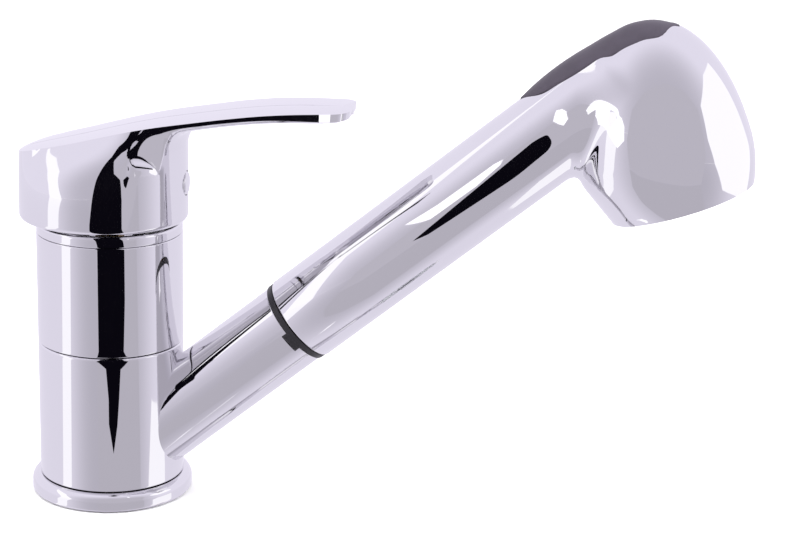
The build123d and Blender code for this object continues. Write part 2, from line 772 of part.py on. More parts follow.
with BuildPart() as diverter_body:
    tube(rim_plane, diverter_z, diverter_top, diverter_d / 2)
    tube(
        across_spout, shell_s0, crossing_s - diverter_d / 4 + bedding,
        tube_d / 2 + bedding, mode=Mode.SUBTRACT,
    )
    tube(across_spout, shell_s0, crossing_s + spool_offset, tube_bore_d / 2, mode=Mode.SUBTRACT)
    with BuildSketch(rim_plane.offset(diverter_z)):
        with Locations((spool_offset, 0)):
            Circle(spool_head_d / 2 + running)
    extrude(amount=diverter_h * 0.7, mode=Mode.SUBTRACT)
    with BuildSketch(rim_plane.offset(diverter_z)):
        with Locations((spool_offset, 0)):
            Circle(spool_d / 2 + running)
    extrude(amount=diverter_h, mode=Mode.SUBTRACT)
save(diverter_body.part, "diverter_body")

with BuildPart() as spray_distributor:
    with BuildSketch(rim_plane.offset(distributor_z)):
        Ellipse(rim_half_l - shell_wall - plate_rim, rim_half_w - shell_wall - plate_rim)
    extrude(amount=chamber_plate_h)
    tube(rim_plane, distributor_z + chamber_plate_h, boss_z1, aerator_r + chamber_boss_w)
    with BuildSketch(rim_plane.offset(distributor_z)):
        rim_w = shell_wall + plate_rim + channel_rim
        Ellipse(rim_half_l - rim_w, rim_half_w - rim_w)
        Circle(aerator_r + aerator_wall, mode=Mode.SUBTRACT)
    extrude(amount=chamber_plate_h / 2, mode=Mode.SUBTRACT)
    tube(rim_plane, distributor_z, boss_z1, aerator_r - aerator_wall, mode=Mode.SUBTRACT)
    tube(
        rim_plane, distributor_z, face_recess + aerator_h + bedding,
        aerator_r + bedding, mode=Mode.SUBTRACT,
    )
save(spray_distributor.part, "spray_distributor")

with BuildPart() as face_plate:
    with BuildSketch(rim_plane.offset(face_recess)):
        Ellipse(rim_half_l - shell_wall - 2 * bedding, rim_half_w - shell_wall - 2 * bedding)
        Circle(aerator_r + bedding, mode=Mode.SUBTRACT)
    extrude(amount=face_plate_h)
    with BuildSketch(rim_plane.offset(face_recess)):
        with Locations(*nozzle_places()):
            Circle(nozzle_d / 2 + bedding)
    extrude(amount=face_plate_h, mode=Mode.SUBTRACT)
save(face_plate.part, "face_plate")

with BuildPart() as spray_nozzles:
    with BuildSketch(rim_plane.offset(mat_z)):
        Ellipse(rim_half_l - shell_wall - plate_rim, rim_half_w - shell_wall - plate_rim)
        Circle(aerator_r + 2 * bedding, mode=Mode.SUBTRACT)
    extrude(amount=mat_h)
    with BuildSketch(rim_plane.offset(face_recess - nozzle_out)):
        with Locations(*nozzle_places()):
            Circle(nozzle_d / 2)
    extrude(amount=nozzle_out + face_plate_h + mat_h / 2)
    with BuildSketch(rim_plane.offset(face_recess - nozzle_out)):
        with Locations(*nozzle_places()):
            Circle(nozzle_bore_d / 2)
    extrude(amount=nozzle_out + face_plate_h + 2 * mat_h, mode=Mode.SUBTRACT)
save(spray_nozzles.part, "spray_nozzles")

with BuildPart() as aerator_housing:
    tube(rim_plane, face_recess / 2, face_recess + aerator_h, aerator_r, aerator_r - aerator_wall)
    tube(
        rim_plane, face_recess + screen_h + bedding, face_recess + 2 * screen_h,
        aerator_r - aerator_wall / 2, aerator_r - 2 * aerator_wall,
    )
save(aerator_housing.part, "aerator_housing")

with BuildPart() as aerator_screen:
    tube(rim_plane, face_recess, face_recess + screen_h, aerator_r - aerator_wall - bedding)
    with BuildSketch(rim_plane.offset(face_recess)):
        with GridLocations(screen_pitch, screen_pitch, 7, 7):
            Rectangle(screen_pitch - screen_bar, screen_pitch - screen_bar)
    extrude(amount=screen_h, mode=Mode.SUBTRACT)
save(aerator_screen.part, "aerator_screen")

# ---- Selector ------------------------------------------------------------

with BuildPart() as selector_rocker:
    rocker_loft()
    with BuildSketch(side_of_spout):
        with Locations((rocker_pivot_s, rocker_pivot_h)):
            Circle(rocker_lug_d / 2)
        with Locations((rocker_pivot_s, rocker_pivot_h + rocker_lug_d / 2)):
            Rectangle(rocker_lug_d, rocker_lug_d)
    extrude(amount=rocker_lug_w / 2, both=True)
    with BuildSketch(side_of_spout):
        with Locations((rocker_pivot_s, rocker_pivot_h)):
            Circle(rocker_pin_d / 2 + running)
    extrude(amount=shaft_r, both=True, mode=Mode.SUBTRACT)
save(selector_rocker.part, "selector_rocker")

with BuildPart() as selector_pin:
    with BuildSketch(side_of_spout):
        with Locations((rocker_pivot_s, rocker_pivot_h)):
            Circle(rocker_pin_d / 2)
    extrude(amount=rocker_pin_l / 2 - bedding, both=True)
save(selector_pin.part, "selector_pin")

# The spool reaches up to just under the rocker's front half
rocker_under = rocker_sections[-3][4]
spool_top = (rim_drop + rocker_under - 2 * seam + spool_offset * sin(lean)) / cos(lean)
with BuildPart() as diverter_spool:
    with BuildSketch(rim_plane.offset(diverter_z + diverter_h * 0.3)):
        with Locations((spool_offset, 0)):
            Circle(spool_d / 2)
    extrude(amount=spool_top - diverter_z - diverter_h * 0.3)
    with BuildSketch(rim_plane.offset(diverter_z + diverter_h * 0.3)):
        with Locations((spool_offset, 0)):
            Circle(spool_head_d / 2)
    extrude(amount=spool_head_h)
save(diverter_spool.part, "diverter_spool")

print("rim centre", rim_centre)
print("rocker pivot", rocker_pivot)
print("pivot height", pivot_z)
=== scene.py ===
"""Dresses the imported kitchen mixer: a single-lever body, a swivel spout and a docked
pull-out hand spray. Every piece is modelled round the CAD frame, in metres."""

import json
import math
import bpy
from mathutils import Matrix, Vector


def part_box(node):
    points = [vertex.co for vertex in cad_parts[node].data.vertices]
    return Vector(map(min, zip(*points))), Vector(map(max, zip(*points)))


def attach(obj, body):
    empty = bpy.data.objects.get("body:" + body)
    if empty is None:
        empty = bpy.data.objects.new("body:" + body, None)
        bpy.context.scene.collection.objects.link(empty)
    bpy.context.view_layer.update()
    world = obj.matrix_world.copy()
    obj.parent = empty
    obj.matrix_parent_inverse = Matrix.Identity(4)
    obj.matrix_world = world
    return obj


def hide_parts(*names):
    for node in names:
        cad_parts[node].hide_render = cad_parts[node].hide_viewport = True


bl_info = {
    "name": "Pull-out spray mixer",
    "version": (1, 0, 0),
    "blender": (4, 5, 0),
    "location": "3D View > Sidebar > Mixer",
    "description": "Builds the mixer's visible pieces, their finishes and the studio",
    "category": "Add Mesh",
}

import bmesh
import bpy
import numpy as np
from mathutils import Matrix, Vector

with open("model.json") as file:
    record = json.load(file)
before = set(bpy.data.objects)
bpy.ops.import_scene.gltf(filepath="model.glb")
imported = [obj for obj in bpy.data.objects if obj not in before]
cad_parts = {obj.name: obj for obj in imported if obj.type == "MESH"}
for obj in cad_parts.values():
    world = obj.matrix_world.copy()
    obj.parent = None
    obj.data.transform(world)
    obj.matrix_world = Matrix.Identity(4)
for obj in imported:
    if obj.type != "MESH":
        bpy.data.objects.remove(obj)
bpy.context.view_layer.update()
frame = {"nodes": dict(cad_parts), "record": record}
nodes = frame["nodes"]

MM = 0.001

# ---- Places and sizes from the frame, in millimetres -----------------------


def node_box(node):
    """A CAD node's lowest and highest corner, in millimetres."""
    low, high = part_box(node)
    return np.array(low) / MM, np.array(high) / MM


BODY_R = node_box("mixer_body")[1][1]
BASE_R = node_box("base_ring")[1][1]
BASE_H = node_box("base_ring")[1][2]
TRIM_R = node_box("trim_ring")[1][1]
TRIM_Z0, TRIM_Z1 = node_box("trim_ring")[0][2], node_box("trim_ring")[1][2]
BODY_Z1 = node_box("mixer_body")[1][2]
SLEEVE_Z0 = node_box("lower_slip_ring")[0][2]
SLEEVE_Z1 = node_box("upper_slip_ring")[1][2]
SEAM = 0.3
CAP_Z0 = node_box("lever_handle")[0][2]
CAP_BACK = -node_box("lever_handle")[0][0]
CAP_HALF_W = node_box("lever_handle")[1][1]

# The spout's line: its root on the body's axis, its direction and its upper side
SPOUT_ANGLE = math.radians(39.8)
ROOT = np.array((0.0, 0.0, 10.2))
ALONG = np.array((math.cos(SPOUT_ANGLE), 0.0, math.sin(SPOUT_ANGLE)))
ABOVE = np.array((-math.sin(SPOUT_ANGLE), 0.0, math.cos(SPOUT_ANGLE)))
DOCK_S = 86.45  # docking plane, along the spout

# The spray head's rim: its centre, its long way out and the way up from it
RIM_TILT = math.radians(19.5)
RIM = np.array((193.514, 0.0, 114.289))
OUTWARD = np.array((math.cos(RIM_TILT), 0.0, math.sin(RIM_TILT)))
UPWARD = np.array((-math.sin(RIM_TILT), 0.0, math.cos(RIM_TILT)))


def spout_frame(s=0.0):
    """Matrix that puts local Z along the spout and local X on its upper side."""
    place = ROOT + ALONG * s
    rows = [[ABOVE[k], -1.0 if k == 1 else 0.0, ALONG[k], place[k] * MM] for k in range(3)]
    return Matrix([*rows, [0, 0, 0, 1]])


# ---- Sizes and colours that a user may change ------------------------------


def linear(code):
    """An sRGB hex colour as linear red, green and blue."""
    channels = [int(code[k : k + 2], 16) / 255 for k in (1, 3, 5)]
    return [c / 12.92 if c <= 0.04045 else ((c + 0.055) / 1.055) ** 2.4 for c in channels]


def length(name, description, default):
    """A size in millimetres, kept in metres."""
    return bpy.props.FloatProperty(
        name=name, description=description, default=default * MM, min=0.0,
        unit="LENGTH", precision=4,
    )


def colour(name, description, default):
    """A colour, given as sRGB hex and kept linear."""
    return bpy.props.FloatVectorProperty(
        name=name, description=description, default=linear(default), size=3,
        min=0.0, max=1.0, subtype="COLOR",
    )


class MixerSizes(bpy.types.PropertyGroup):
    """Edge rounds and small forms of the visible pieces."""

    base_round: length("Base round", "Round on the base ring's upper edge", 2.8)
    seam_round: length("Seam round", "Round on the body's edges at its seams", 0.35)
    sleeve_round: length("Sleeve round", "Round on the swivel sleeve's top edge", 0.9)
    trim_round: length("Trim round", "Round on the trim ring's upper edge", 1.2)
    spout_r: length("Spout radius", "Outside radius of the spout tube", 14.75)
    spout_bore: length("Spout bore", "Inside radius of the spout tube", 12.9)
    shaft_r: length("Shaft radius", "Outside radius of the hand spray's shaft", 15.4)
    shell_wall: length("Shell wall", "Wall of the hand spray's shell", 2.1)
    neck_blend: length("Neck blend", "Round where the shaft runs into the head", 4.0)
    collar_r: length("Collar radius", "Outside radius of the docking collar", 15.1)


class MixerColours(bpy.types.PropertyGroup):
    """Base colours of the finishes."""

    chrome: colour("Chrome", "Bright chrome plate", "#e4e3e6")
    rubber: colour("Selector", "Soft-touch rubber of the selector", "#3a343f")
    collar: colour("Collar", "Moulded docking collar", "#17151a")
    floor: colour("Floor", "Paper that the mixer stands on", "#fbfafc")


# ---- Finishes --------------------------------------------------------------


def add_node(tree, kind, settings=None, values=None, links=None):
    """Adds one shader node with its settings, socket values and incoming links."""
    node = tree.nodes.new(kind)
    for key, value in (settings or {}).items():
        setattr(node, key, value)
    for key, value in (values or {}).items():
        node.inputs[key].default_value = value
    for key, source in (links or {}).items():
        tree.links.new(source, node.inputs[key])
    return node


def finish_start(name, values):
    """A new material with its shader, and its Object coordinates."""
    mat = bpy.data.materials.new(name)
    mat.use_nodes = True
    tree = mat.node_tree
    shader = tree.nodes["Principled BSDF"]
    for key, value in values.items():
        shader.inputs[key].default_value = value
    where = add_node(tree, "ShaderNodeTexCoord").outputs["Object"]
    return mat, tree, shader, where


def varied(tree, where, scale, low, high, detail=2.0):
    """A soft noise between two values, its grain scale millimetres across."""
    noise = add_node(
        tree, "ShaderNodeTexNoise", values={"Scale": 1 / (scale * MM), "Detail": detail},
        links={"Vector": where},
    )
    spread = add_node(
        tree, "ShaderNodeMapRange",
        values={"From Min": 0.3, "From Max": 0.7, "To Min": low, "To Max": high},
        links={"Value": noise.outputs["Fac"]},
    )
    return spread.outputs["Result"], noise.outputs["Fac"]


def bumped(tree, shader, height, distance, strength=1.0):
    """Feeds a height in 0 to 1 into the shader's normal, distance millimetres deep."""
    bump = add_node(
        tree, "ShaderNodeBump", values={"Distance": distance * MM, "Strength": strength},
        links={"Height": height},
    )
    tree.links.new(bump.outputs["Normal"], shader.inputs["Normal"])


def metal(name, rgb, rough, spread, grain, wave=0.0):
    """Bare or plated metal: roughness varies by spread over grain millimetres."""
    mat, tree, shader, where = finish_start(
        name, {"Base Color": (*rgb, 1.0), "Metallic": 1.0, "Roughness": rough}
    )
    value, noise = varied(tree, where, grain, rough - spread, rough + spread)
    tree.links.new(value, shader.inputs["Roughness"])
    if wave:
        bumped(tree, shader, noise, wave)
    return mat


def moulded(name, rgb, rough, sheen=0.0, grain=0.35, depth=0.02, ior=1.5):
    """Moulded plastic or rubber: a fine spark-eroded grain and a slight mottle."""
    mat, tree, shader, where = finish_start(
        name,
        {
            "Base Color": (*rgb, 1.0), "Roughness": rough, "IOR": ior,
            "Sheen Weight": sheen, "Sheen Roughness": 0.4,
        },
    )
    value, noise = varied(tree, where, 6.0, 0.88, 1.08)
    tint = add_node(
        tree, "ShaderNodeMix", {"data_type": "RGBA", "blend_type": "MULTIPLY"},
        values={0: 1.0, 6: (*rgb, 1.0)}, links={7: value},
    )
    tree.links.new(tint.outputs[2], shader.inputs["Base Color"])
    fine = add_node(
        tree, "ShaderNodeTexNoise", values={"Scale": 1 / (grain * MM), "Detail": 1.0},
        links={"Vector": where},
    )
    bumped(tree, shader, fine.outputs["Fac"], depth)
    return mat


def make_finishes(colours):
    """Every finish of the mixer, by the record's slot names."""
    chrome = list(colours.chrome)
    return {
        # Chrome plate over polished brass: a mirror, with a faint wave left by the buffing
        "chromed_brass": metal("chrome_plate_on_brass", chrome, 0.035, 0.012, 9.0),
        # Chrome plate over a die casting: a mirror, slightly softer than turned brass
        "chromed_zinc": metal("chrome_plate_on_zinc_casting", chrome, 0.04, 0.015, 12.0),
        # Chrome plate over moulded ABS: a mirror with the mould's long soft wave
        "chromed_plastic": metal("chrome_plate_on_abs", chrome, 0.04, 0.012, 14.0),
        # Turned brass, left bare inside: a warm satin metal
        "brass": metal("turned_brass", linear("#c8a45a"), 0.28, 0.06, 1.2, 0.01),
        # Stainless steel, drawn and brushed: a grey satin metal
        "stainless": metal("stainless_steel", linear("#b9b9bb"), 0.3, 0.08, 0.8, 0.008),
        # Nitrile rubber seals, moulded: black with a dull bloom
        "rubber": moulded("nitrile_rubber", linear("#1b1b1c"), 0.55, 0.2, 0.5),
        # Silicone nozzles, moulded: mid grey, soft and slightly satin
        "grey_rubber": moulded("silicone_rubber", linear("#8b8e92"), 0.5, 0.1, 0.4),
        # Soft-touch thermoplastic rubber, moulded: charcoal, matt, with a dusty sheen
        "soft_black": moulded(
            "soft_touch_rubber", list(colours.rubber), 0.5, 0.05, 0.3, 0.03, 1.42
        ),
        # Glass-filled nylon collar, moulded: near black and satin
        "black_plastic": moulded("moulded_nylon", list(colours.collar), 0.38, 0.0, 0.5, 0.01),
        # Acetal slides and cartridge parts, moulded: waxy off-white
        "white_plastic": moulded("moulded_acetal", linear("#e9e7e0"), 0.4, 0.0, 0.8, 0.008),
        # ABS spray face and inner parts, moulded: light satin grey
        "grey_plastic": moulded("moulded_abs", linear("#a9abb0"), 0.36, 0.0, 0.45, 0.015),
        # Alumina discs, lapped: dense white with a dull shine
        "ceramic": moulded("lapped_alumina", linear("#eceae4"), 0.25, 0.0, 0.2, 0.003, 1.76),
    }


finishes = {}


# ---- Modelling tools -------------------------------------------------------


def only(obj):
    """Selects one object and makes it active."""
    bpy.ops.object.select_all(action="DESELECT")
    obj.select_set(True)
    bpy.context.view_layer.objects.active = obj


def edit(obj):
    """Enters edit mode on one object with nothing selected."""
    only(obj)
    bpy.ops.object.mode_set(mode="EDIT")
    bpy.ops.mesh.select_all(action="DESELECT")
    return bmesh.from_edit_mesh(obj.data)


def leave():
    """Leaves edit mode."""
    bpy.ops.object.mode_set(mode="OBJECT")


def start(name):
    """Names the new primitive and returns it."""
    obj = bpy.context.object
    obj.name = name
    obj.data.name = name
    return obj


def tidy(obj, angle=35.0):
    """Merges doubles, turns faces outwards and smooths all but the sharp edges."""
    edit(obj)
    bpy.ops.mesh.select_all(action="SELECT")
    bpy.ops.mesh.remove_doubles(threshold=0.002 * MM)
    bpy.ops.mesh.normals_make_consistent(inside=False)
    leave()
    only(obj)
    bpy.ops.object.shade_smooth_by_angle(angle=math.radians(angle))
    return obj


def apply_modifier(obj, kind, **settings):
    """Adds a modifier with its settings and applies it."""
    only(obj)
    modifier = obj.modifiers.new(kind.lower(), kind)
    for key, value in settings.items():
        setattr(modifier, key, value)
    bpy.ops.object.modifier_apply(modifier=modifier.name)


def cut(obj, tool, operation="DIFFERENCE"):
    """Cuts a tool out of a piece, or joins it on, and removes the tool."""
    # every piece and tool is closed, and this solver cuts closed pieces alike in each run
    apply_modifier(obj, "BOOLEAN", operation=operation, solver="MANIFOLD", object=tool)
    bpy.data.objects.remove(tool)


def put(obj, matrix):
    """Moves a finished mesh to its place, with its object left at the origin."""
    obj.matrix_world = matrix
    only(obj)
    bpy.ops.object.transform_apply(location=True, rotation=True, scale=True)
    return obj


def turned(name, corners, steps=192, matrix=None):
    """Turns a closed outline about Z. Each corner is (radius, height, round)."""
    # an extra corner close to each round keeps the long faces' shading straight
    held = []
    for k, corner in enumerate(corners):
        ends = (corners[k - 1], corners[(k + 1) % len(corners)])
        for end, first in zip(ends, (True, False)):
            here, there = np.array(corner[:2], float), np.array(end[:2], float)
            gone = corner[2] + 0.3
            extra = []
            if corner[2] > 0 and np.hypot(*(there - here)) > gone + end[2] + 1.0:
                spot = here + (there - here) * gone / np.hypot(*(there - here))
                extra = [(spot[0], spot[1], 0)]
            held += [*extra, corner] if first else extra
    corners = held
    bpy.ops.mesh.primitive_circle_add(vertices=len(corners), radius=0.01, fill_type="NGON")
    obj = start(name)
    bm = edit(obj)
    bm.verts.ensure_lookup_table()
    for vert, (radius, height, _) in zip(bm.verts, corners):
        vert.co = (radius * MM, 0.0, height * MM)
    bmesh.update_edit_mesh(obj.data)
    for radius, height, bend in corners:
        if bend > 0:
            bpy.ops.mesh.select_all(action="DESELECT")
            bm = bmesh.from_edit_mesh(obj.data)
            corner = Vector((radius * MM, 0.0, height * MM))
            min(bm.verts, key=lambda v: (v.co - corner).length).select_set(True)
            bm.select_flush(True)
            bmesh.update_edit_mesh(obj.data)
            bpy.ops.mesh.bevel(
                offset=bend * MM, segments=6, affect="VERTICES", offset_type="OFFSET"
            )
    bpy.ops.mesh.select_all(action="SELECT")
    bpy.ops.mesh.delete(type="ONLY_FACE")
    bm = bmesh.from_edit_mesh(obj.data)
    on_axis = [e for e in bm.edges if all(v.co.x < 1e-7 for v in e.verts)]
    bmesh.ops.delete(bm, geom=on_axis, context="EDGES")
    bmesh.update_edit_mesh(obj.data)
    bpy.ops.mesh.select_all(action="SELECT")
    bpy.ops.mesh.spin(
        steps=steps, angle=2 * math.pi, center=(0, 0, 0), axis=(0, 0, 1), use_auto_merge=False
    )
    leave()
    if matrix is not None:
        put(obj, matrix)
    return tidy(obj)


def skin(name, loops, close_start=True, close_end=True, angle=35.0):
    """Rolls a grid up into a tube through closed loops of points, in millimetres."""
    loops = np.asarray(loops, float)
    rows, around = loops.shape[:2]
    bpy.ops.mesh.primitive_grid_add(x_subdivisions=around, y_subdivisions=rows - 1, size=0.01)
    obj = start(name)
    points = np.concatenate([loops, loops[:, :1]], axis=1) * MM
    obj.data.vertices.foreach_set("co", points.astype(np.float32).ravel())
    obj.data.update()
    for close, row in ((close_start, 0), (close_end, rows - 1)):
        if close:
            bm = edit(obj)
            bm.verts.ensure_lookup_table()
            first = row * (around + 1)
            for vert in bm.verts[first : first + around + 1]:
                vert.select_set(True)
            bm.select_flush(True)
            bmesh.update_edit_mesh(obj.data)
            bpy.ops.mesh.remove_doubles(threshold=0.002 * MM)
            bpy.ops.mesh.edge_face_add()
            leave()
    return tidy(obj, angle)


def block(name, low, high, matrix=None):
    """A box between two corners, in millimetres."""
    centre = [(a + b) / 2 * MM for a, b in zip(low, high)]
    bpy.ops.mesh.primitive_cube_add(size=1.0, location=centre)
    obj = start(name)
    obj.scale = [(b - a) * MM for a, b in zip(low, high)]
    bpy.ops.object.transform_apply(location=True, rotation=True, scale=True)
    if matrix is not None:
        put(obj, matrix)
    return obj


def rod(name, radius, start_z, end_z, matrix=None, steps=192):
    """A plain round bar, for joining on or cutting away."""
    corners = [(0, start_z, 0), (radius, start_z, 0), (radius, end_z, 0), (0, end_z, 0)]
    return turned(name, corners, steps, matrix)


def through(places, values, at):
    """A smooth curve through given values, read at new places."""
    places, values = np.asarray(places, float), np.asarray(values, float)
    at = np.clip(np.asarray(at, float), places[0], places[-1])
    slopes = np.gradient(values, places)
    k = np.clip(np.searchsorted(places, at, side="right") - 1, 0, len(places) - 2)
    gap = places[k + 1] - places[k]
    t = (at - places[k]) / gap
    return (
        (2 * t**3 - 3 * t**2 + 1) * values[k] + (t**3 - 2 * t**2 + t) * gap * slopes[k]
        + (3 * t**2 - 2 * t**3) * values[k + 1] + (t**3 - t**2) * gap * slopes[k + 1]
    )


def dress(obj, slot, body, *replaced):
    """Gives a piece its finish and its body, and hides the CAD nodes that it stands for."""
    obj.data.materials.clear()
    obj.data.materials.append(finishes[slot])
    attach(obj, body)
    if replaced:
        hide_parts(*replaced)
    return obj


# ---- The body --------------------------------------------------------------

RING_BORE_R, TRIM_BORE_R = 22.1, 15.3
# Inside the body, upwards: its spigot, the web with the ports, the cartridge's chamber
SPIGOT_BORE_R, SPIGOT_R, SPIGOT_Z0 = 17.0, 18.75, 50.0
STEP_R, STEP_Z1 = 20.5, 54.8
WEB_Z0, WEB_Z1 = 54.0, 66.0
CHAMBER_R, CHAMBER_Z1, NUT_R = 20.1, 88.1, 21.0
PORT_AT, PORT_R, WATERWAY_R = 10.5, 4.5, 2.5


class MIXER_OT_body(bpy.types.Operator):
    """Turns the base ring, the valve body and the trim ring"""

    bl_idname = "mixer.body"
    bl_label = "Body and rings"

    def execute(self, context):
        sizes = context.scene.mixer_sizes
        seam = sizes.seam_round / MM
        base = turned("base_ring_turned", [
            (RING_BORE_R, 0, 0), (BASE_R, 0, 1.2), (BASE_R, BASE_H, sizes.base_round / MM),
            (RING_BORE_R, BASE_H, 0),
        ])
        dress(base, "chromed_brass", "base", "base_ring")
        body = turned("valve_body", [
            (SPIGOT_BORE_R, SPIGOT_Z0, 0), (SPIGOT_R, SPIGOT_Z0, 0), (SPIGOT_R, WEB_Z0, 0),
            (STEP_R, WEB_Z0, 0), (STEP_R, STEP_Z1, 0), (BODY_R, STEP_Z1, seam),
            (BODY_R, BODY_Z1, seam), (NUT_R, BODY_Z1, 0), (NUT_R, CHAMBER_Z1, 0),
            (CHAMBER_R, CHAMBER_Z1, 0), (CHAMBER_R, WEB_Z1, 0), (0, WEB_Z1, 0),
            (0, WEB_Z0, 0), (SPIGOT_BORE_R, WEB_Z0, 0),
        ])
        for turn in (0, 120, 240):
            way = math.cos(math.radians(turn)), math.sin(math.radians(turn))
            place = Matrix.Translation((PORT_AT * way[0] * MM, PORT_AT * way[1] * MM, 0))
            cut(body, rod("port", PORT_R, WEB_Z0 - 1, WEB_Z0 + 9, place, 48))
            cut(body, rod("waterway", WATERWAY_R, WEB_Z1 - 6, WEB_Z1 + 4, place, 48))
        dress(tidy(body), "chromed_brass", "base", "mixer_body")
        trim = turned("trim_ring_turned", [
            (TRIM_BORE_R, TRIM_Z0, 0), (TRIM_R, TRIM_Z0, 0.5),
            (TRIM_R, TRIM_Z1, sizes.trim_round / MM), (TRIM_BORE_R, TRIM_Z1, 0),
        ])
        dress(trim, "chromed_brass", "base", "trim_ring")
        return {"FINISHED"}


# ---- The spout -------------------------------------------------------------

SLEEVE_WALL = 2.4
COLLAR_W, COLLAR_BORE_R = 2.2, 12.0
LINER_R, LINER_L = 12.85, 24  # the collar's sleeve inside the tube
KEY_L, KEY_W, KEY_ANGLE = 2.0, 7.0, 79.0


class MIXER_OT_spout(bpy.types.Operator):
    """Joins the swivel sleeve and the spout tube, and moulds the docking collar"""

    bl_idname = "mixer.spout"
    bl_label = "Spout and collar"

    def execute(self, context):
        sizes = context.scene.mixer_sizes
        mouth = DOCK_S - COLLAR_W
        outer, bore = sizes.spout_r / MM, sizes.spout_bore / MM
        spout = turned("spout_casting", [
            (0, SLEEVE_Z0, 0), (BODY_R, SLEEVE_Z0, 0.4),
            (BODY_R, SLEEVE_Z1, sizes.sleeve_round / MM), (0, SLEEVE_Z1, 0),
        ])
        tube = turned("spout_tube", [
            (0, 0, 0), (outer, 0, 0), (outer, mouth, 0.25), (0, mouth, 0),
        ], matrix=spout_frame())
        cut(spout, tube, "UNION")
        cut(spout, rod("sleeve_bore", BODY_R - SLEEVE_WALL, -5, 70))
        cut(spout, rod("tube_bore", bore, 22, 100, spout_frame()))
        for side in (KEY_ANGLE, -KEY_ANGLE):
            turn = Matrix.Rotation(math.radians(180 - side), 4, "Z")
            low, high = (bore - 1, -KEY_W / 2, mouth - KEY_L), (outer + 1, KEY_W / 2, mouth + 1)
            notch = block("key_notch", low, high, spout_frame() @ turn)
            cut(spout, notch)
        dress(tidy(spout), "chromed_brass", "spout", "spout_sleeve")

        radius = sizes.collar_r / MM
        collar = turned("docking_collar_moulded", [
            (COLLAR_BORE_R, mouth + 0.05, 0), (radius, mouth + 0.05, 0.35),
            (radius, DOCK_S, 0.5), (COLLAR_BORE_R, DOCK_S, 0.3),
        ], matrix=spout_frame())
        liner = turned("liner", [
            (COLLAR_BORE_R, mouth - LINER_L, 0.2), (LINER_R, mouth - LINER_L, 0.2),
            (LINER_R, mouth + 1, 0), (COLLAR_BORE_R, mouth + 1, 0),
        ], matrix=spout_frame())
        cut(collar, liner, "UNION")
        for side in (KEY_ANGLE, -KEY_ANGLE):
            turn = Matrix.Rotation(math.radians(180 - side), 4, "Z")
            low = (12.4, -KEY_W / 2 + 0.05, mouth - KEY_L + 0.1)
            key = block("key", low, (radius - 0.1, KEY_W / 2 - 0.05, mouth + 1))
            apply_modifier(key, "BEVEL", width=0.7 * MM, segments=4, limit_method="ANGLE")
            put(key, spout_frame() @ turn)
            cut(collar, key, "UNION")
        dress(tidy(collar), "black_plastic", "spout", "docking_collar")
        return {"FINISHED"}


# ---- The lever -------------------------------------------------------------

# Along the lever from its back: height of its top, and half its width
LEVER_X = (-30.8, -26, -20, -10, 0, 10, 20, 30, 45, 55, 65, 72, 83.4)
LEVER_TOP = (
    120.0, 121.5, 123.1, 125.6, 128.3, 130.9, 133.1, 134.9, 137.4, 138.7, 139.5, 139.8, 140.2,
)
LEVER_HALF = (0.5, 7.5, 12.6, 14.8, 15.6, 16.0, 16.2, 16.3, 16.3, 15.8, 14.9, 14.1, 12.8)
# Height of its thin side face, which on the cap is the top of the sloping flank
SIDE_X = (-31, 0, 6, 9, 12, 15, 18, 23, 28, 35, 52, 62, 69, 74, 84)
SIDE_H = (6.3, 6.3, 6.3, 5.7, 4.6, 3.4, 2.7, 1.95, 1.4, 1.3, 1.45, 1.8, 2.25, 2.5, 2.5)
CAP_FRONT = 26.9  # the cap's wall in front of the body's axis
CAP_CENTRE = (CAP_FRONT - CAP_BACK) / 2
CAP_HALF_L = (CAP_FRONT + CAP_BACK) / 2
FLANK_FOOT = 102.0  # height where the flank would reach the wall
WALL_TOP = 104.0  # height where the cap's wall is upright
SHOULDER_Z = 123.8  # the cap's shoulder beside the blade
SHOULDER_L, SHOULDER_H = 6.0, 7.0  # its round, outward and downward
FOOT_INSET = 1.4  # the cap's wall draws in by this at its lower edge
HOLLOW_H = 19.5  # the hollow under the cap
SCREW_Z = 111.0  # the set screw's axis


def eased(low, high, at):
    """A weight that rises smoothly from 0 to 1 between two places."""
    t = np.clip((np.asarray(at, float) - low) / (high - low), 0, 1)
    return t * t * (3 - 2 * t)


def lever_outline(count):
    """Half of the lever's outline seen from above, back to tip, evenly spaced."""
    tip, corner = 83.4, 6.5
    x = np.concatenate([
        -30.8 + 10.8 * (1 - np.cos(np.linspace(0, np.pi / 2, 24))),
        np.linspace(-19, tip - corner, 60),
    ])
    back = np.clip((x + 30.8) / 10.8, 0, 1)
    y = np.where(
        x < -20, 12.6 * np.sqrt(1 - (1 - back) ** 2), through(LEVER_X, LEVER_HALF, x)
    )
    turn = np.linspace(0, np.pi / 2, 14)[1:]
    y_tip = through(LEVER_X, LEVER_HALF, tip - corner)
    x = np.concatenate([x, tip - corner + corner * np.sin(turn), np.full(10, tip)])
    y = np.concatenate([
        y, y_tip - corner + corner * np.cos(turn), np.linspace(y_tip - corner, 0, 11)[1:],
    ])
    walked = np.concatenate([[0], np.cumsum(np.hypot(np.diff(x), np.diff(y)))])
    even = np.linspace(0, walked[-1], count)
    return np.interp(even, walked, x), np.interp(even, walked, y)


def lever_under(x, y):
    """Height of the blade's underside: a belly under its side faces."""
    inward = np.clip(through(LEVER_X, LEVER_HALF, x) - np.abs(y), 0, 5.0) / 5.0
    tip = np.clip((83.4 - x) / 5.0, 0, 1)
    inward = np.minimum(inward, tip)
    belly = np.interp(x, (28, 62, 80), (2.1, 1.7, 0.9)) * np.sqrt(1 - (1 - inward) ** 2)
    return through(LEVER_X, LEVER_TOP, x) - through(SIDE_X, SIDE_H, x) - belly


